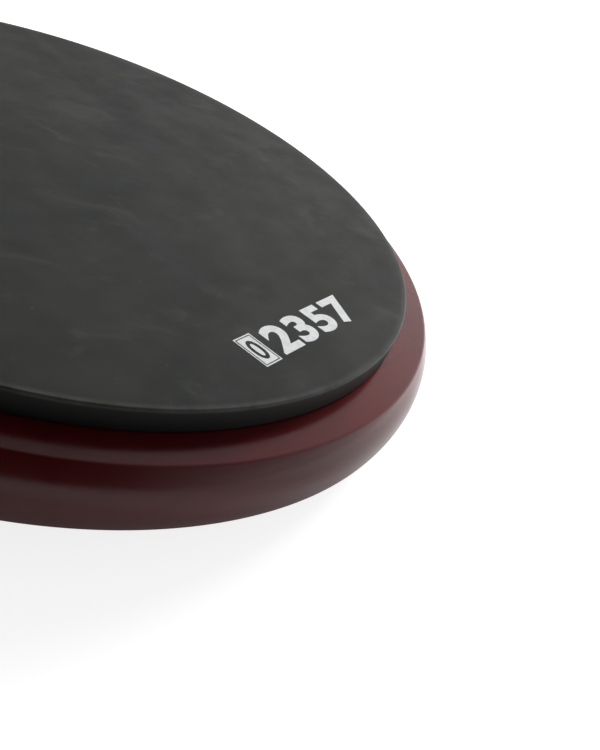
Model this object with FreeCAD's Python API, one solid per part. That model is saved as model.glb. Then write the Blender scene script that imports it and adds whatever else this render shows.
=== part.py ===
"""Round drum practice pad: a rubber playing pad bonded to a turned, lacquered wooden base.

Underneath, a steel plate with an 8 mm threaded bush fixes the pad to a cymbal stand, and four
screwed rubber feet keep it still on a table. Lengths are in millimetres.

Frame: +Z up, origin on the pad's axis in the plane that the feet stand on, -Y towards the player.
"""

import FreeCAD
import Part

import math
import os

# Base: one turned board with a round side, and a sloping ledge around the playing pad.
base_diameter = 228.6
base_thickness = 16.4
ledge_width = 12.7          # from the playing pad's side to the widest part of the base
ledge_drop = 0.3            # how far the ledge falls from the playing pad to its outer edge
belly_height = 6.1          # height of the widest part above the underside
side_radius = 15.5          # radius of the round side
ledge_edge_radius = 1.2
underside_edge_radius = 0.9

# Playing pad and the glue film under it.
pad_thickness = 6.0
pad_top_edge_radius = 0.6
pad_bottom_edge_radius = 0.25
glue_thickness = 0.2
glue_margin = 0.8           # the film stops this far inside the playing pad's side

# Mounting plate, flush in the underside, with a threaded bush swaged into it.
plate_diameter = 46.0
plate_thickness = 2.0
plate_edge_radius = 0.4
plate_clearance = 0.25      # radial gap between the plate and its recess
bush_diameter = 15.0
bush_length = 10.0          # length inside the base, past the plate
bush_spigot_diameter = 11.5
bush_clearance = 0.2        # radial gap between the bush and the base
bush_end_gap = 1.0          # free depth past the end of the bush
thread_bore_diameter = 6.8  # bore of an M8 thread
thread_mouth_chamfer = 0.7
plate_screw_count = 3
plate_screw_circle = 32.0

# Rubber feet.
foot_count = 4
foot_height = 5.6
foot_diameter = 20.0        # at the underside of the base
foot_taper = 1.2            # how much smaller the radius is at the floor
foot_edge_radius = 0.8
foot_inset = 31.0           # from the widest part of the base to a foot's centre
foot_web = 1.5              # rubber between the washer and the base
washer_diameter = 10.0
washer_thickness = 0.8
washer_clearance = 0.1      # radial gap around the washer in the foot
counterbore_flare = 0.5     # how much wider the foot's recess is at the floor

# Wood screws: both kinds have the same shank and the same cross recess.
shank_diameter = 3.5
shank_clearance = 0.3       # radial gap in the plate, the washers and the feet
pilot_clearance = 0.05      # radial gap between a shank and its pilot hole
pilot_end_gap = 0.8         # free depth past a screw's tip
plate_screw_length = 11.0   # overall, with its countersunk head
foot_screw_length = 10.0    # under its pan head
tip_length = 2.6
countersunk_head_diameter = 6.9
countersink_clearance = 0.05
pan_head_diameter = 7.2
pan_head_height = 2.3
pan_head_edge_radius = 1.5
recess_depth = 1.5
recess_span = 3.9
recess_width = 0.9
recess_floor_share = 0.45   # the cross narrows to this share of its size at its floor

# Heights and radii that follow from the sizes above.
base_radius = base_diameter / 2
pad_radius = base_radius - ledge_width
underside_z = foot_height
ledge_top_z = underside_z + base_thickness
ledge_edge_z = ledge_top_z - ledge_drop
belly_z = underside_z + belly_height
glue_top_z = ledge_top_z + glue_thickness
pad_top_z = glue_top_z + pad_thickness
plate_top_z = underside_z + plate_thickness
bush_top_z = plate_top_z + bush_length
plate_radius = plate_diameter / 2
bush_radius = bush_diameter / 2
bush_spigot_radius = bush_spigot_diameter / 2
thread_radius = thread_bore_diameter / 2
shank_radius = shank_diameter / 2
washer_radius = washer_diameter / 2
washer_bottom_z = underside_z - foot_web - washer_thickness
foot_circle_radius = base_radius - foot_inset
countersunk_head_radius = countersunk_head_diameter / 2

AXIS_ORIGIN = FreeCAD.Vector(0, 0, 0)
AXIS = FreeCAD.Vector(0, 0, 1)
OVERCUT = 1.0               # how far a cutting tool starts outside the material
SAME = 1e-4                 # lengths closer than this are the same


def point(radius, z):
    """A point of a turned outline: its distance from the axis, and its height."""
    return FreeCAD.Vector(radius, 0, z)


def side_radius_at(z):
    """The distance of the base's round side from the axis, at a height."""
    return base_radius - side_radius + math.sqrt(side_radius**2 - (z - belly_z) ** 2)


def turn(edges):
    """The solid made by turning a closed outline of edges about the Z axis."""
    outline = Part.Wire(Part.__sortEdges__(edges))
    return Part.Face(outline).revolve(AXIS_ORIGIN, AXIS, 360)


def turned(*corners):
    """The solid made by turning a closed outline of straight lines, given by its (radius, z) corners."""
    points = [point(*corner) for corner in corners]
    return turn([Part.makeLine(a, b) for a, b in zip(points, points[1:] + points[:1])])


def circles_at(shape, radius, z):
    """The round edges of a turned shape that have this radius and height."""
    found = []
    for edge in shape.Edges:
        curve = edge.Curve
        if not isinstance(curve, Part.Circle):
            continue
        if abs(curve.Center.z - z) < SAME and abs(curve.Radius - radius) < SAME:
            found.append(edge)
    return found


def rounded(shape, radius, *circles):
    """A turned shape with its round edges at the given (radius, z) places rounded off."""
    edges = [edge for circle in circles for edge in circles_at(shape, *circle)]
    return shape.makeFillet(radius, edges)


def round_positions(count, circle_radius, first_angle):
    """Evenly spaced centres on a circle in the XY plane."""
    step = 2 * math.pi / count
    angles = [math.radians(first_angle) + i * step for i in range(count)]
    return [(circle_radius * math.cos(a), circle_radius * math.sin(a)) for a in angles]


def moved(shape, x, y, z=0.0):
    """A copy of a shape, moved."""
    copy = shape.copy()
    copy.translate(FreeCAD.Vector(x, y, z))
    return copy


def cylinder(radius, bottom_z, top_z, x=0.0, y=0.0):
    """An upright cylinder between two heights."""
    return Part.makeCylinder(radius, top_z - bottom_z, FreeCAD.Vector(x, y, bottom_z))


PLATE_SCREW_PLACES = round_positions(plate_screw_count, plate_screw_circle / 2, 90)
FOOT_PLACES = round_positions(foot_count, foot_circle_radius, 45)


def base_board():
    """The turned board, with its recess, bush hole and pilot holes."""
    belly = point(base_radius, belly_z)
    ledge_edge = point(side_radius_at(ledge_edge_z), ledge_edge_z)
    underside_edge = point(side_radius_at(underside_z), underside_z)
    board = turn(
        [
            Part.makeLine(point(0, underside_z), underside_edge),
            Part.Arc(underside_edge, belly, ledge_edge).toShape(),
            Part.makeLine(ledge_edge, point(pad_radius, ledge_top_z)),
            Part.makeLine(point(pad_radius, ledge_top_z), point(0, ledge_top_z)),
            Part.makeLine(point(0, ledge_top_z), point(0, underside_z)),
        ]
    )
    board = rounded(board, ledge_edge_radius, (ledge_edge.x, ledge_edge.z))
    board = rounded(board, underside_edge_radius, (underside_edge.x, underside_edge.z))

    pilot_radius = shank_radius + pilot_clearance
    below = underside_z - OVERCUT
    plate_pilot_top = underside_z + plate_screw_length + pilot_end_gap
    foot_pilot_top = washer_bottom_z + foot_screw_length + pilot_end_gap
    cuts = [
        cylinder(plate_radius + plate_clearance, below, plate_top_z),
        cylinder(bush_radius + bush_clearance, below, bush_top_z + bush_end_gap),
    ]
    cuts += [cylinder(pilot_radius, below, plate_pilot_top, x, y) for x, y in PLATE_SCREW_PLACES]
    cuts += [cylinder(pilot_radius, below, foot_pilot_top, x, y) for x, y in FOOT_PLACES]
    return board.cut(cuts)


def playing_pad():
    """The rubber disc that the sticks strike."""
    disc = cylinder(pad_radius, glue_top_z, pad_top_z)
    disc = rounded(disc, pad_top_edge_radius, (pad_radius, pad_top_z))
    return rounded(disc, pad_bottom_edge_radius, (pad_radius, glue_top_z))


def pad_glue():
    """The film of glue between the playing pad and the base."""
    return cylinder(pad_radius - glue_margin, ledge_top_z, glue_top_z)


def mounting_plate():
    """The round steel plate, with countersunk holes and a round hole for the bush."""
    plate = cylinder(plate_radius, underside_z, plate_top_z)
    plate = rounded(plate, plate_edge_radius, (plate_radius, underside_z))
    cone = countersunk_cone(countersink_clearance)
    cuts = [cylinder(bush_spigot_radius, underside_z - OVERCUT, plate_top_z + OVERCUT)]
    for x, y in PLATE_SCREW_PLACES:
        cuts.append(moved(cone, x, y, underside_z))
        shank_hole = shank_radius + shank_clearance
        cuts.append(cylinder(shank_hole, underside_z - OVERCUT, plate_top_z + OVERCUT, x, y))
    return plate.cut(cuts)


def threaded_bush():
    """The turned bush with the stand's thread, swaged into the mounting plate."""
    mouth = thread_radius + thread_mouth_chamfer
    return turned(
        (mouth, underside_z),
        (bush_spigot_radius, underside_z),
        (bush_spigot_radius, plate_top_z),
        (bush_radius, plate_top_z),
        (bush_radius, bush_top_z),
        (thread_radius, bush_top_z),
        (thread_radius, underside_z + thread_mouth_chamfer),
    )


def countersunk_cone(clearance):
    """A countersunk head or its seat: a 90 degree cone that narrows upwards from z = 0."""
    top = countersunk_head_radius + clearance
    return turned((0, 0), (top, 0), (0, top))


def cross_recess(bottom_z):
    """The tapering cross that a screwdriver fits, open downwards at a height."""
    arms = []
    for length, width in ((recess_span, recess_width), (recess_width, recess_span)):
        mouth = rectangle(length, width, bottom_z)
        floor = rectangle(
            length * recess_floor_share,
            width * recess_floor_share,
            bottom_z + recess_depth,
        )
        arms.append(Part.makeLoft([mouth, floor], True, True))
    return arms[0].fuse(arms[1])


def rectangle(length, width, z):
    """A closed level rectangle, centred on the axis."""
    x, y = length / 2, width / 2
    corners = [(-x, -y), (x, -y), (x, y), (-x, y), (-x, -y)]
    return Part.makePolygon([FreeCAD.Vector(px, py, z) for px, py in corners])


def shank(bottom_z, length):
    """A screw's shank with its pointed end, standing up from a height."""
    top_z = bottom_z + length
    return turned(
        (0, bottom_z),
        (shank_radius, bottom_z),
        (shank_radius, top_z - tip_length),
        (0, top_z),
    )


def plate_screw():
    """A countersunk wood screw, its head level with the mounting plate."""
    screw = countersunk_cone(0).fuse(shank(0, plate_screw_length)).removeSplitter()
    return moved(screw.cut(cross_recess(0)), 0, 0, underside_z)


def foot_screw():
    """A pan head wood screw, its head against a foot's washer."""
    head_radius = pan_head_diameter / 2
    head = cylinder(head_radius, -pan_head_height, 0)
    head = rounded(head, pan_head_edge_radius, (head_radius, -pan_head_height))
    screw = head.fuse(shank(0, foot_screw_length)).removeSplitter()
    return moved(screw.cut(cross_recess(-pan_head_height)), 0, 0, washer_bottom_z)


def foot_washer():
    """The steel washer that spreads a foot screw's load."""
    ring = cylinder(washer_radius, washer_bottom_z, washer_bottom_z + washer_thickness)
    return ring.cut(cylinder(shank_radius + shank_clearance, 0, underside_z))


def foot():
    """A tapered rubber foot, with a recess for its washer and screw head."""
    floor_radius = foot_diameter / 2 - foot_taper
    seat_radius = washer_radius + washer_clearance
    washer_top_z = washer_bottom_z + washer_thickness
    shank_hole = shank_radius + shank_clearance
    body = turned(
        (seat_radius + counterbore_flare, 0),
        (floor_radius, 0),
        (foot_diameter / 2, underside_z),
        (shank_hole, underside_z),
        (shank_hole, washer_top_z),
        (seat_radius, washer_top_z),
        (seat_radius, washer_bottom_z),
    )
    return rounded(body, foot_edge_radius, (floor_radius, 0))


def place_all(pieces, name, shape, places):
    """Adds one numbered copy of a shape for each place."""
    for number, (x, y) in enumerate(places, start=1):
        pieces[f"{name}_{number}"] = moved(shape, x, y)


def build():
    """Every piece of the practice pad, by node name."""
    pieces = {
        "base_board": base_board(),
        "playing_pad": playing_pad(),
        "pad_glue": pad_glue(),
        "mounting_plate": mounting_plate(),
        "threaded_bush": threaded_bush(),
    }
    place_all(pieces, "plate_screw", plate_screw(), PLATE_SCREW_PLACES)
    place_all(pieces, "foot", foot(), FOOT_PLACES)
    place_all(pieces, "foot_washer", foot_washer(), FOOT_PLACES)
    place_all(pieces, "foot_screw", foot_screw(), FOOT_PLACES)
    return pieces


def main():
    os.makedirs("parts", exist_ok=True)
    for name, shape in build().items():
        shape.exportStep(f"parts/{name}.step")
        print(f"{name}: valid {shape.isValid()}, solids {len(shape.Solids)}, volume {shape.Volume:.1f}")


main()
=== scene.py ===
"""The looks of the round drum practice pad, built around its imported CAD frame.

The board, the rubber disc and the bush are turned meshes, worked out from the same sizes as the CAD
solids. The disc gets a thin print, and every surface has a procedural material. The object's lengths
and the camera's place are in millimetres until Blender takes them, and the floor's and the lamp's
lengths are in metres.
"""

import math

import bpy
from mathutils import Matrix, Vector

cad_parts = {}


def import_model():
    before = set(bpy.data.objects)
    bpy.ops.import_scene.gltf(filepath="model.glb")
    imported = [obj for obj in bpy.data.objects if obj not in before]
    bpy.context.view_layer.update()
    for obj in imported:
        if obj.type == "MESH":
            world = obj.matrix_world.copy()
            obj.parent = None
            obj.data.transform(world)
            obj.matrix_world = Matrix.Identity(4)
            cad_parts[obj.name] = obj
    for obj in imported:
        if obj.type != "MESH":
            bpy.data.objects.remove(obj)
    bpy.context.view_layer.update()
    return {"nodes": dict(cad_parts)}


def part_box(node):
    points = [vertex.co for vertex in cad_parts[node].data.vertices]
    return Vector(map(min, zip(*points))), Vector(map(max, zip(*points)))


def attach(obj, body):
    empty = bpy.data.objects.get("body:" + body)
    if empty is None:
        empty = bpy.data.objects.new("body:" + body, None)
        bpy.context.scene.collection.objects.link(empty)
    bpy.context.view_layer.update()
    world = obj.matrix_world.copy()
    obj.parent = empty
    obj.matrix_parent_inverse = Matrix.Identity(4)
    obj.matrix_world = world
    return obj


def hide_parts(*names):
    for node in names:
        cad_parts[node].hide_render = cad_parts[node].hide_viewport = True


MM = 0.001
TAU = 2 * math.pi

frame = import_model()


# ---------------------------------------------------------------- sizes of the object


def node_box(node):
    """A CAD node's lowest and highest corner, in millimetres."""
    low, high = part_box(node)
    return low / MM, high / MM


board_low, board_high = node_box("base_board")
disc_low, disc_high = node_box("playing_pad")
_, plate_high = node_box("mounting_plate")
bush_low, bush_high = node_box("threaded_bush")

BOARD_RADIUS = board_high.x
DISC_RADIUS = disc_high.x
PLATE_RADIUS = plate_high.x
BUSH_RADIUS = bush_high.x

UNDERSIDE_Z = board_low.z
BOARD_TOP_Z = board_high.z
DISC_FOOT_Z = disc_low.z
DISC_TOP_Z = disc_high.z
PLATE_TOP_Z = plate_high.z
BUSH_FOOT_Z = bush_low.z
BUSH_TOP_Z = bush_high.z

# The board's side is one round arc, widest at the belly. The ledge beside the disc falls a little,
# and ends in a ridge.
BELLY_Z = UNDERSIDE_Z + 6.1
SIDE_RADIUS = 15.5
LEDGE_DROP = 0.3
RIDGE_ROUNDING = 1.2
UNDERSIDE_ROUNDING = 0.9

# Clearances in the board, round the plate, round the bush and past the bush's end.
PLATE_GAP = 0.25
BUSH_GAP = 0.2
BUSH_END_GAP = 1.0

# The rubber disc's rounded edges.
DISC_TOP_ROUNDING = 0.6
DISC_FOOT_ROUNDING = 0.25

# The bush's spigot goes through the plate, and its bore has an M8 thread with a chamfered mouth. The
# flanks rise faster than a plain zigzag by THREAD_STEEPNESS, which leaves a flat bottom in the groove.
BUSH_SPIGOT_RADIUS = 5.75
THREAD_MINOR = 3.4
THREAD_DEPTH = 0.6
THREAD_PITCH = 1.25
THREAD_STEEPNESS = 1.3
THREAD_CHAMFER = 0.7

# The print lies near the player's edge: a white tile with one number, and then larger numbers. Sizes
# are (width, height), places are the middle's (x, y), and lifts are heights above the disc.
TILE_SIZE = (6.4, 10.7)
TILE_PLACE = (-19.3, -82.1)
TILE_MARGIN = 0.4
TILE_LINE_WIDTH = 0.25
FIRST_SIZE = (3.6, 7.0)
COUNTS_SIZE = (37.5, 10.4)
COUNTS_PLACE = (5.0, -82.1)
NUMERAL_SPACING = 1.1
PRINT_LIFT = 0.02
OVERPRINT_LIFT = 0.04
INK_THICKNESS = 0.06

# How finely round pieces are cut up.
ROUND_SEGMENTS = 512
BUSH_SEGMENTS = 96
STEPS_PER_PITCH = 10

# A point this close to the axis is on it.
ON_AXIS = 1e-9


# ---------------------------------------------------------------- meshes


def add_object(name, data):
    """A new object in the scene."""
    thing = bpy.data.objects.new(name, data)
    bpy.context.scene.collection.objects.link(thing)
    return thing


def line_to(outline, end, steps):
    """Carries an outline of (r, z) points on in a straight line, cut into steps."""
    r, z = outline[-1]
    for i in range(1, steps + 1):
        t = i / steps
        outline.append((r + (end[0] - r) * t, z + (end[1] - z) * t))


def arc_on(outline, centre, radius, start, end, steps):
    """Carries an outline on along an arc, from one angle to another in degrees, cut into steps.

    The outline's last point is the arc's first.
    """
    for i in range(1, steps + 1):
        angle = math.radians(start + (end - start) * i / steps)
        outline.append((centre[0] + radius * math.cos(angle), centre[1] + radius * math.sin(angle)))


def bridge(low, high):
    """The faces between two rings of vertex numbers. A ring on the axis is one number, repeated."""
    faces = []
    for i in range(len(low)):
        j = (i + 1) % len(low)
        corners = [low[i], low[j], high[j], high[i]]
        face = [corner for k, corner in enumerate(corners) if corner != corners[k - 1]]
        if len(face) > 2:
            faces.append(face)
    return faces


def turned(name, outline, segments):
    """A closed mesh made by turning an outline of (r, z) points about the Z axis.

    The outline starts and ends on the axis, or it is a closed loop, and it runs up the outside. A
    point's r may be a function of the angle round the axis.
    """
    verts = []
    rings = []
    for r, z in outline:
        if not callable(r) and r < ON_AXIS:
            rings.append([len(verts)] * segments)
            verts.append((0.0, 0.0, z * MM))
            continue
        rings.append(list(range(len(verts), len(verts) + segments)))
        for i in range(segments):
            angle = TAU * i / segments
            reach = r(angle) if callable(r) else r
            verts.append((reach * math.cos(angle) * MM, reach * math.sin(angle) * MM, z * MM))
    pairs = list(zip(rings, rings[1:]))
    if outline[0][0] > ON_AXIS:
        pairs.append((rings[-1], rings[0]))
    faces = []
    for low, high in pairs:
        faces += bridge(low, high)
    mesh = bpy.data.meshes.new(name)
    mesh.from_pydata(verts, [], faces)
    mesh.validate()
    mesh.shade_smooth()
    return add_object(name, mesh)


def sharpen(piece, angle=32):
    """Keeps a mesh's edges crisp where its faces meet at more than an angle, in degrees."""
    piece.data.set_sharp_from_angle(angle=math.radians(angle))


def install(piece, material, slot, *nodes):
    """Gives a piece its material, rides it on the object, and stands it in for CAD nodes. The slot is not
    used.
    """
    piece.data.materials.clear()
    piece.data.materials.append(material)
    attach(piece, "root")
    if nodes:
        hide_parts(*nodes)


def repaint(node, material):
    """Gives a CAD node a better material."""
    thing = frame["nodes"][node]
    thing.material_slots[0].material = material


# ---------------------------------------------------------------- material nodes


class Nodes:
    """The node tree of a material or a world, with short ways to add and link its nodes.

    Each value may be another node's output, or a plain number, vector or colour.
    """

    def __init__(self, owner):
        owner.use_nodes = True
        self.tree = owner.node_tree
        self.tree.nodes.clear()

    def add(self, kind, *values, **settings):
        """A new node of a kind, such as "Math", with its settings, and values for its first inputs."""
        node = self.tree.nodes.new("ShaderNode" + kind)
        for name, setting in settings.items():
            setattr(node, name, setting)
        for socket, value in zip(node.inputs, values):
            self.feed(socket, value)
        return node

    def feed(self, socket, value):
        """Links an output to a socket, or sets the socket's own value."""
        if isinstance(value, bpy.types.NodeSocket):
            self.tree.links.new(value, socket)
        else:
            socket.default_value = value

    def math(self, operation, *values):
        return self.add("Math", *values, operation=operation).outputs[0]

    def vector_math(self, operation, *values):
        node = self.add("VectorMath", *values, operation=operation)
        return node.outputs["Value" if operation == "DOT_PRODUCT" else "Vector"]

    def split(self, vector):
        """A vector's X, Y and Z outputs."""
        return self.add("SeparateXYZ", vector).outputs

    def fade(self, value, stops):
        """A brightness from a value between -1 and 1, through stops of (value, brightness)."""
        ramp = self.add("ValToRGB")
        made = ramp.color_ramp.elements
        for place, share in stops:
            stop = made.new((place + 1) / 2)
            stop.color = (share, share, share, 1)
        made.remove(made[0])
        made.remove(made[-1])
        self.feed(ramp.inputs[0], self.math("MULTIPLY_ADD", value, 0.5, 0.5))
        return ramp.outputs["Color"]


class Shader(Nodes):
    """A material with one principled surface."""

    def __init__(self, name):
        self.material = bpy.data.materials.new(name)
        super().__init__(self.material)
        self.surface = self.add("BsdfPrincipled")
        self.add("OutputMaterial", self.surface.outputs[0])
        self.place = self.add("TexCoord").outputs["Object"]

    def set(self, **values):
        """Sets the surface's sockets; Base_Color stands for "Base Color"."""
        for name, value in values.items():
            self.feed(self.surface.inputs[name.replace("_", " ")], value)

    def noise(self, size, detail=3.0, roughness=0.55, distortion=0.0, turn=0.0):
        """Noise whose features are about this many millimetres across.

        The size is one number, or one along each axis after a turn about Z, in degrees.
        """
        place, scale = self.place, 1.0
        if isinstance(size, tuple):
            rotated = self.add("VectorRotate", rotation_type="Z_AXIS")
            self.feed(rotated.inputs["Vector"], place)
            self.feed(rotated.inputs["Angle"], math.radians(turn))
            scales = [1 / (length * MM) for length in size]
            place = self.vector_math("MULTIPLY", rotated.outputs[0], scales)
        else:
            scale = 1 / (size * MM)
        node = self.add("TexNoise")
        self.feed(node.inputs["Vector"], place)
        self.feed(node.inputs["Scale"], scale)
        self.feed(node.inputs["Detail"], detail)
        self.feed(node.inputs["Roughness"], roughness)
        self.feed(node.inputs["Distortion"], distortion)
        return node.outputs["Fac"]

    def span(self, value, low, high, to_low=0.0, to_high=1.0):
        """Maps a value smoothly from one range to another, and clamps it."""
        node = self.add("MapRange", interpolation_type="SMOOTHSTEP")
        self.feed(node.inputs["Value"], value)
        self.feed(node.inputs["From Min"], low)
        self.feed(node.inputs["From Max"], high)
        self.feed(node.inputs["To Min"], to_low)
        self.feed(node.inputs["To Max"], to_high)
        return node.outputs["Result"]

    def wander(self, noise, low, high):
        """A value that wanders between two numbers with a noise."""
        return self.span(noise, 0.3, 0.7, low, high)

    def mix(self, share, a, b):
        """A mix of two colours, all b where the share is 1."""
        node = self.add("Mix", data_type="RGBA")
        self.feed(node.inputs["Factor"], share)
        self.feed(node.inputs["A"], a)
        self.feed(node.inputs["B"], b)
        return node.outputs["Result"]

    def lay(self, colour, over, noise, low, high, share=1.0):
        """Lays a second colour over the first: none where the noise is low, and a share where high."""
        return self.mix(self.span(noise, low, high, 0.0, share), colour, over)

    def radius(self):
        """The distance from the object's axis, in metres."""
        x, y, _ = self.split(self.place)
        return self.math("SQRT", self.math("ADD", self.math("MULTIPLY", x, x), self.math("MULTIPLY", y, y)))

    def bump(self, height, depth, strength):
        """A bump of a depth in millimetres."""
        node = self.add("Bump")
        self.feed(node.inputs["Height"], height)
        self.feed(node.inputs["Distance"], depth * MM)
        self.feed(node.inputs["Strength"], strength)
        return node.outputs[0]


def srgb(red, green, blue):
    """A linear colour from 0 to 255 display values."""
    def linear(value):
        share = value / 255
        return share / 12.92 if share <= 0.04045 else ((share + 0.055) / 1.055) ** 2.4
    return (linear(red), linear(green), linear(blue), 1.0)


def grey(tone):
    """A linear grey."""
    return (tone, tone, tone, 1.0)


# ---------------------------------------------------------------- materials


def lacquer():
    """Burgundy lacquer over a turned board: satin gloss, with faint streaks and orange peel."""
    deep, bright, streaked = srgb(89, 14, 17), srgb(100, 17, 19), srgb(78, 9, 13)
    s = Shader("burgundy_lacquer")
    colour = s.lay(deep, bright, s.noise(34), 0.3, 0.7)
    colour = s.lay(colour, streaked, s.noise((28.57, 1.667, 1.667)), 0.45, 0.75, 0.35)
    s.set(Base_Color=colour)
    s.set(Roughness=s.wander(s.noise(9, 4), 0.15, 0.23))
    s.set(Normal=s.bump(s.noise(1.6, 2), depth=0.012, strength=0.6))
    return s.material


def disc_rubber():
    """Dark sheet rubber: a dull dusty bloom with smears on top, a painted highlight along the rim, and
    painted shade on its cut side.
    """
    dark, pale, warm = srgb(42, 45, 43), srgb(52, 54, 50), srgb(54, 53, 48)
    smeared, dusty, rim_highlight, cut = srgb(71, 73, 66), srgb(78, 79, 73), srgb(76, 78, 75), srgb(33, 34, 33)
    s = Shader("disc_rubber")
    colour = s.lay(dark, pale, s.noise(30, 5, 0.65), 0.35, 0.65)
    colour = s.lay(colour, warm, s.noise(45, 2), 0.45, 0.65, 0.5)
    smears = s.noise((21, 12, 20), 5, 0.62, distortion=0.8, turn=40)
    colour = s.lay(colour, smeared, smears, 0.52, 0.74, 0.62)
    colour = s.lay(colour, dusty, s.noise(1.1, 1, 0.3), 0.76, 0.82, 0.45)
    # A lighter ring along the rim, broken up by noise, is a painted highlight.
    rim_starts, rim_full = DISC_RADIUS - 2.2, DISC_RADIUS - 0.6
    rim = s.span(s.radius(), rim_starts * MM, rim_full * MM)
    highlight_breakup = s.span(s.noise(8, 4), 0.3, 0.6, 0.3, 0.9)
    colour = s.mix(s.math("MULTIPLY", rim, highlight_breakup), colour, rim_highlight)
    # The cut side is painted darker than the top, as painted shade.
    cut_ends, top_starts = DISC_TOP_Z - 1.1, DISC_TOP_Z - 0.35
    top = s.span(s.split(s.place)["Z"], cut_ends * MM, top_starts * MM)
    s.set(Base_Color=s.mix(top, cut, colour))
    s.set(Roughness=s.wander(s.noise(14, 4), 0.52, 0.62), Specular_IOR_Level=0.42)
    s.set(Normal=s.bump(s.noise(0.45, 3, 0.7), depth=0.02, strength=0.5))
    return s.material


def plated(name, tone, rough, size):
    """Zinc plate in a tone: bright, with clouds of a size in millimetres, and fine scratches."""
    dimming, smoother, rougher = 0.82, 0.05, 0.08
    clouded = tuple(dimming * channel for channel in tone)
    s = Shader(name)
    s.set(Base_Color=s.lay(clouded + (1.0,), tone + (1.0,), s.noise(size, 4, 0.6), 0.3, 0.7))
    s.set(Metallic=1.0)
    s.set(Roughness=s.wander(s.noise(0.6 * size), rough - smoother, rough + rougher))
    s.set(Normal=s.bump(s.noise((3.125, 0.25, 0.25), turn=25), depth=0.01, strength=0.5))
    return s.material


def foot_rubber():
    """Moulded black rubber with a fine matt texture."""
    s = Shader("moulded_rubber")
    s.set(Base_Color=s.lay(srgb(34, 34, 34), srgb(44, 44, 43), s.noise(6), 0.3, 0.7))
    s.set(Roughness=s.wander(s.noise(3), 0.6, 0.75))
    s.set(Normal=s.bump(s.noise(0.3, 2), depth=0.02, strength=0.5))
    return s.material


def glue_film():
    """Dark contact adhesive, seen only as a line under the disc's edge."""
    s = Shader("glue_film")
    s.set(Base_Color=s.lay(srgb(30, 27, 24), srgb(42, 38, 33), s.noise(2), 0.3, 0.7))
    s.set(Roughness=s.wander(s.noise(1.2), 0.35, 0.55))
    return s.material


def white_ink():
    """White screen printing ink, a little uneven."""
    s = Shader("white_ink")
    s.set(Base_Color=s.lay(srgb(236, 237, 238), srgb(248, 249, 250), s.noise(1.5, 4), 0.35, 0.6))
    s.set(Roughness=s.wander(s.noise(2), 0.45, 0.6))
    return s.material


# ---------------------------------------------------------------- turned pieces


def rounding_beside(side_centre, start, along, radius):
    """The middle of a rounding that touches the board's side, and the angle where it does.

    The middle lies on a line from a start, in the unit direction along.
    """
    away = start - side_centre
    back = away.dot(along)
    reach = SIDE_RADIUS - radius
    middle = start + along * (-back + math.sqrt(back**2 - (away.length_squared - reach**2)))
    offset = middle - side_centre
    return middle, math.degrees(math.atan2(offset.y, offset.x))


def board_outline():
    """The board's outline, from the middle of its top, over the side, to the end of its bush hole."""
    side_centre = Vector((BOARD_RADIUS - SIDE_RADIUS, BELLY_Z))

    # The ledge slopes from the disc to where the side is LEDGE_DROP down, and the ridge touches both.
    edge_z = BOARD_TOP_Z - LEDGE_DROP
    edge_r = side_centre.x + math.sqrt(SIDE_RADIUS**2 - (edge_z - BELLY_Z) ** 2)
    slope = math.atan2(LEDGE_DROP, edge_r - DISC_RADIUS)
    along = Vector((math.cos(slope), -math.sin(slope)))
    below = Vector((-math.sin(slope), -math.cos(slope))) * RIDGE_ROUNDING
    under_disc_edge = Vector((DISC_RADIUS, BOARD_TOP_Z)) + below
    ridge, ridge_side = rounding_beside(side_centre, under_disc_edge, along, RIDGE_ROUNDING)

    # The lower rounding touches the side and the underside.
    above_underside = Vector((side_centre.x, UNDERSIDE_Z + UNDERSIDE_ROUNDING))
    lower, lower_side = rounding_beside(side_centre, above_underside, Vector((1, 0)), UNDERSIDE_ROUNDING)

    recess_r = PLATE_RADIUS + PLATE_GAP
    hole_r = BUSH_RADIUS + BUSH_GAP
    hole_end = BUSH_TOP_Z + BUSH_END_GAP
    outline = [(0.0, BOARD_TOP_Z)]
    line_to(outline, (DISC_RADIUS, BOARD_TOP_Z), 12)
    line_to(outline, ridge - below, 10)
    arc_on(outline, ridge, RIDGE_ROUNDING, 90 - math.degrees(slope), ridge_side, 12)
    arc_on(outline, side_centre, SIDE_RADIUS, ridge_side, lower_side, 48)
    arc_on(outline, lower, UNDERSIDE_ROUNDING, lower_side, -90, 8)
    line_to(outline, (recess_r, UNDERSIDE_Z), 12)
    line_to(outline, (recess_r, PLATE_TOP_Z), 2)
    line_to(outline, (hole_r, PLATE_TOP_Z), 3)
    line_to(outline, (hole_r, hole_end), 4)
    line_to(outline, (0, hole_end), 2)
    return outline


def lacquered_board():
    """The turned board, whose outline is reversed so that it runs up the outside."""
    piece = turned("lacquered_board", board_outline()[::-1], ROUND_SEGMENTS)
    sharpen(piece)
    install(piece, lacquer(), "burgundy_lacquer", "base_board")


def disc_outline():
    """The disc's outline, from the middle of its top, over its cut side, to the middle of its foot."""
    top, foot = DISC_TOP_ROUNDING, DISC_FOOT_ROUNDING
    outline = [(0.0, DISC_TOP_Z)]
    line_to(outline, (DISC_RADIUS - top, DISC_TOP_Z), 24)
    arc_on(outline, (DISC_RADIUS - top, DISC_TOP_Z - top), top, 90, 0, 8)
    line_to(outline, (DISC_RADIUS, DISC_FOOT_Z + foot), 6)
    arc_on(outline, (DISC_RADIUS - foot, DISC_FOOT_Z + foot), foot, 0, -90, 5)
    line_to(outline, (0, DISC_FOOT_Z), 4)
    return outline


def rubber_disc(rubber):
    """The playing disc, whose outline is reversed so that it runs up the outside."""
    piece = turned("rubber_disc", disc_outline()[::-1], ROUND_SEGMENTS)
    sharpen(piece)
    install(piece, rubber, "pad_rubber", "playing_pad")


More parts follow.
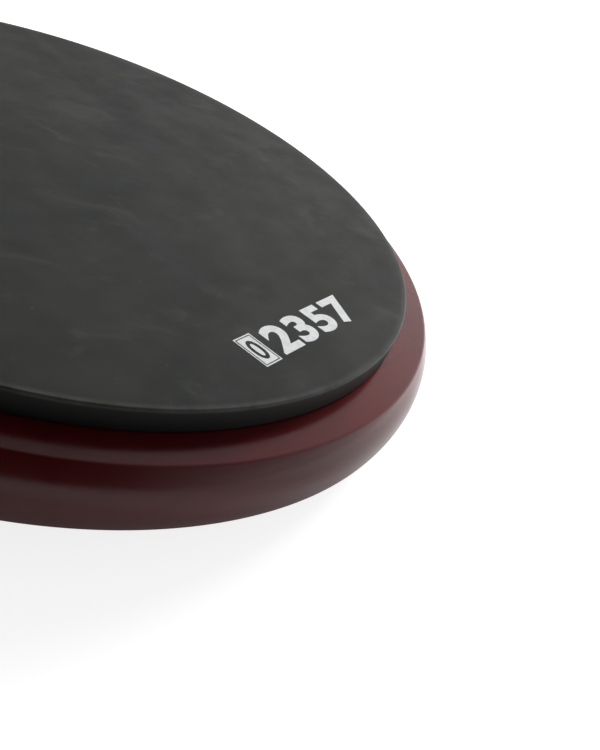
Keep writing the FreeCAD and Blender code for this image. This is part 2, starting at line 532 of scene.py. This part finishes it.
def thread_reach(z):
    """The bore's radius at a height, as a function of the angle round it."""
    chamfer = THREAD_MINOR + THREAD_CHAMFER - (z - BUSH_FOOT_Z)

    def reach(angle):
        turn = (z / THREAD_PITCH - angle / TAU) % 1.0
        zigzag = 1 - abs(2 * turn - 1)
        groove = THREAD_MINOR + THREAD_DEPTH * min(1.0, THREAD_STEEPNESS * zigzag)
        return max(groove, chamfer)

    return reach


def threaded_bush(steel):
    """The bush with a real M8 thread in its bore, as a loop up the outside and down the bore."""
    length = BUSH_TOP_Z - BUSH_FOOT_Z
    outline = [(THREAD_MINOR + THREAD_CHAMFER, BUSH_FOOT_Z)]
    line_to(outline, (BUSH_SPIGOT_RADIUS, BUSH_FOOT_Z), 2)
    line_to(outline, (BUSH_SPIGOT_RADIUS, PLATE_TOP_Z), 1)
    line_to(outline, (BUSH_RADIUS, PLATE_TOP_Z), 1)
    line_to(outline, (BUSH_RADIUS, BUSH_TOP_Z), 2)
    steps = round(length / THREAD_PITCH * STEPS_PER_PITCH)
    for i in range(steps):
        z = BUSH_TOP_Z - length * i / steps
        outline.append((thread_reach(z), z))
    piece = turned("bush_with_thread", outline, BUSH_SEGMENTS)
    sharpen(piece, angle=50)
    install(piece, steel, "turned_steel", "threaded_bush")


# ---------------------------------------------------------------- the print on the disc


def printed(name, mesh):
    """A flat mesh on the disc's top as a thin print that is pressed into the rubber."""
    mesh.shade_flat()
    piece = add_object(name, mesh)
    ink = piece.modifiers.new("ink", "SOLIDIFY")
    ink.thickness = INK_THICKNESS * MM
    ink.offset = -1.0
    return piece


def numerals(name, body, size, centre, lift, bold):
    """Plain numbers as a print, fitted to a (width, height), with each stroke's edge moved out by bold."""
    curve = bpy.data.curves.new(name, "FONT")
    curve.body = body
    curve.size = size[1] * MM
    curve.space_character = NUMERAL_SPACING
    curve.offset = bold * MM
    text = add_object(name + "_text", curve)
    bpy.context.view_layer.update()
    graph = bpy.context.evaluated_depsgraph_get()
    mesh = bpy.data.meshes.new_from_object(text.evaluated_get(graph))
    bpy.data.objects.remove(text)
    for axis in (0, 1):
        places = [vertex.co[axis] for vertex in mesh.vertices]
        low, high = min(places), max(places)
        for vertex in mesh.vertices:
            share = (vertex.co[axis] - low) / (high - low) - 0.5
            vertex.co[axis] = (centre[axis] + share * size[axis]) * MM
    for vertex in mesh.vertices:
        vertex.co.z = (DISC_TOP_Z + lift) * MM
    if mesh.polygons[0].normal.z < 0:
        mesh.flip_normals()
    return printed(name, mesh)


def tile(name, centre, lift, outer, inner=None):
    """A rectangle of a (width, height) as a print, with an inner one cut out if it is given."""
    z = (DISC_TOP_Z + lift) * MM
    sizes = (outer, inner) if inner else (outer,)
    verts = []
    for width, height in sizes:
        for x, y in ((-1, -1), (1, -1), (1, 1), (-1, 1)):
            verts.append(((centre[0] + x * width / 2) * MM, (centre[1] + y * height / 2) * MM, z))
    faces = [(0, 1, 2, 3)]
    if inner:
        faces = [(i, (i + 1) % 4, 4 + (i + 1) % 4, 4 + i) for i in range(4)]
    mesh = bpy.data.meshes.new(name)
    mesh.from_pydata(verts, [], faces)
    return printed(name, mesh)


def inset(size, margin):
    """A (width, height) with a margin taken off all round."""
    return tuple(side - 2 * margin for side in size)


def print_on_disc(rubber):
    """Plain counting numbers in white, the first one in rubber on a white tile with a thin line."""
    ink = white_ink()
    counts = numerals("printed_counts", "2357", COUNTS_SIZE, COUNTS_PLACE, PRINT_LIFT, bold=0.4)
    plaque = tile("printed_tile", TILE_PLACE, PRINT_LIFT, TILE_SIZE)
    for piece in (counts, plaque):
        install(piece, ink, "pad_rubber")
    outer = inset(TILE_SIZE, TILE_MARGIN)
    border = tile("printed_tile_line", TILE_PLACE, OVERPRINT_LIFT, outer, inset(outer, TILE_LINE_WIDTH))
    first = numerals("printed_first", "0", FIRST_SIZE, TILE_PLACE, OVERPRINT_LIFT, bold=0.1)
    for piece in (border, first):
        install(piece, rubber, "pad_rubber")


# ---------------------------------------------------------------- fittings


def fittings():
    """Builds the bush, and gives the plate, screws, washers, feet and glue film their materials."""
    steel = plated("plated_steel", (0.62, 0.63, 0.65), rough=0.3, size=5)
    screw_steel = plated("screw_steel", (0.6, 0.6, 0.6), rough=0.34, size=2)
    repaint("mounting_plate", steel)
    threaded_bush(screw_steel)
    repaint("pad_glue", glue_film())
    rubber = foot_rubber()
    for number in (1, 2, 3, 4):
        repaint(f"foot_{number}", rubber)
        repaint(f"foot_washer_{number}", screw_steel)
        repaint(f"foot_screw_{number}", screw_steel)
    for number in (1, 2, 3):
        repaint(f"plate_screw_{number}", screw_steel)


# ---------------------------------------------------------------- studio

# Azimuths are counted from +X towards +Y. The backdrop is brightest on one side.
BRIGHT_AZIMUTH = -10
BACKDROP_PEAK = 1.5

# The backdrop's light as (degrees, share), first by azimuth away from the bright side and then by
# elevation.
AROUND = (
    (0, 1.0), (15, 1.0), (25, 0.88),
    (40, 0.70), (50, 0.57), (69, 0.43),
    (85, 0.25), (100, 0.08), (118, 0.03),
)
UPWARD = (
    (-90, 0.5), (0, 0.95), (10, 1.0),
    (16, 0.75), (25, 0.70), (33, 0.52),
    (45, 0.42), (60, 0.28), (85, 0.06),
)

FLOOR_WIDTH = 16.0
FLOOR_TONE = 0.45

# The floor's own light: two distances from the object's axis, and the strength at each. The camera
# sees SEEN_WHITE, which is less near the object, where the lamp adds the rest. The object is lit by
# NEAR_GLOW, and it mirrors that or the backdrop's bright side times FLOOR_SHEEN, whichever is more.
# PAINTED_SHADOW_UNDER_OBJECT is the share of this that is left, which is little under the object: a painted
# shadow of the object in the floor's own light.
SEEN_WHITE = (0.3, 1.5, 0.84, 1.0)
NEAR_GLOW = (0.16, 0.5, 0.36, 0.12)
FLOOR_SHEEN = 1.35
PAINTED_SHADOW_UNDER_OBJECT = (0.104, 0.128, 0.15, 1.0)


def direction(azimuth, elevation=0.0):
    """A unit vector from angles in degrees."""
    a, e = math.radians(azimuth), math.radians(elevation)
    return Vector((math.cos(a) * math.cos(e), math.sin(a) * math.cos(e), math.sin(e)))


def bright_side(nodes, place):
    """The light on the side of the studio that a place or direction lies on."""
    level = nodes.vector_math("MULTIPLY", place, (1, 1, 0))
    unit = nodes.vector_math("NORMALIZE", level)
    facing = nodes.vector_math("DOT_PRODUCT", unit, direction(BRIGHT_AZIMUTH))
    return nodes.fade(facing, [(math.cos(math.radians(angle)), share) for angle, share in AROUND])


def floor():
    """A wide pale floor that shows white, keeps the object's shadow, and mirrors the studio's light."""
    half = FLOOR_WIDTH / 2
    corners = [(-half, -half, 0), (half, -half, 0), (half, half, 0), (-half, half, 0)]
    mesh = bpy.data.meshes.new("floor")
    mesh.from_pydata(corners, [], [(0, 1, 2, 3)])
    thing = add_object("floor", mesh)
    s = Shader("floor")
    s.set(Base_Color=grey(FLOOR_TONE), Roughness=0.9, Specular_IOR_Level=0.0)
    path = s.add("LightPath").outputs
    distance = s.radius()
    glow = s.span(distance, *NEAR_GLOW)
    sheen = s.math("MAXIMUM", s.math("MULTIPLY", bright_side(s, s.place), FLOOR_SHEEN), glow)
    mirrored = s.math("MULTIPLY", sheen, path["Is Glossy Ray"])
    scattered = s.math("MULTIPLY", glow, path["Is Diffuse Ray"])
    # Under the object the floor lends little of its own light, a painted shadow.
    lent = s.math("MULTIPLY", s.math("ADD", mirrored, scattered), s.span(distance, *PAINTED_SHADOW_UNDER_OBJECT))
    seen = s.math("MULTIPLY", path["Is Camera Ray"], s.span(distance, *SEEN_WHITE))
    s.set(Emission_Color=grey(1.0), Emission_Strength=s.math("ADD", seen, lent))
    mesh.materials.append(s.material)


def world():
    """A white backdrop, which lights the object mostly from the bright side and from low down."""
    studio = bpy.data.worlds.new("studio")
    bpy.context.scene.world = studio
    nodes = Nodes(studio)
    place = nodes.add("TexCoord").outputs["Generated"]
    height = nodes.split(place)["Z"]
    upward = nodes.fade(height, [(math.sin(math.radians(angle)), share) for angle, share in UPWARD])
    light = nodes.math("MULTIPLY", bright_side(nodes, place), upward)
    strength = nodes.math("MULTIPLY", light, BACKDROP_PEAK)
    lit = nodes.add("Background", grey(1.0), strength)
    seen = nodes.add("Background", grey(1.0), 1.0)
    from_camera = nodes.add("LightPath").outputs["Is Camera Ray"]
    mixed = nodes.add("MixShader", from_camera, lit.outputs[0], seen.outputs[0])
    nodes.add("OutputWorld", mixed.outputs[0])


def lamp(name, azimuth, elevation, distance, size, power):
    """A square soft lamp that points at the object."""
    light = bpy.data.lights.new(name, "AREA")
    light.size = size
    light.energy = power
    thing = add_object(name, light)
    thing.location = direction(azimuth, elevation) * distance
    thing.rotation_euler = (-thing.location).to_track_quat("-Z", "Y").to_euler()
    thing.visible_glossy = False


def camera():
    """A close view across the player's edge, tilted, from the left of the printed numbers.

    Its place is in millimetres, with the bearing seen from the object's middle, and angles in degrees.
    """
    bearing, distance, height = -139.0, 227.3, 132.9
    heading, pitch, roll = 19.83, -32.54, 25.86
    data = bpy.data.cameras.new("camera")
    data.sensor_fit = "AUTO"
    data.sensor_width = 36.0
    data.lens = 40.53
    data.clip_start = 0.01
    thing = add_object("camera", data)
    angle = math.radians(bearing)
    thing.location = (distance * math.cos(angle) * MM, distance * math.sin(angle) * MM, height * MM)
    turn = Matrix.Rotation(math.radians(heading - 90), 3, "Z")
    tip = Matrix.Rotation(math.radians(90 + pitch), 3, "X")
    twist = Matrix.Rotation(math.radians(roll), 3, "Z")
    thing.rotation_euler = (turn @ tip @ twist).to_euler()
    bpy.context.scene.camera = thing


# ---------------------------------------------------------------- the scene

lacquered_board()
sheet_rubber = disc_rubber()
rubber_disc(sheet_rubber)
print_on_disc(sheet_rubber)
fittings()

floor()
world()
lamp("key", azimuth=0, elevation=19, distance=1.2, size=0.5, power=27)
camera()
bpy.context.scene.view_settings.view_transform = "Standard"
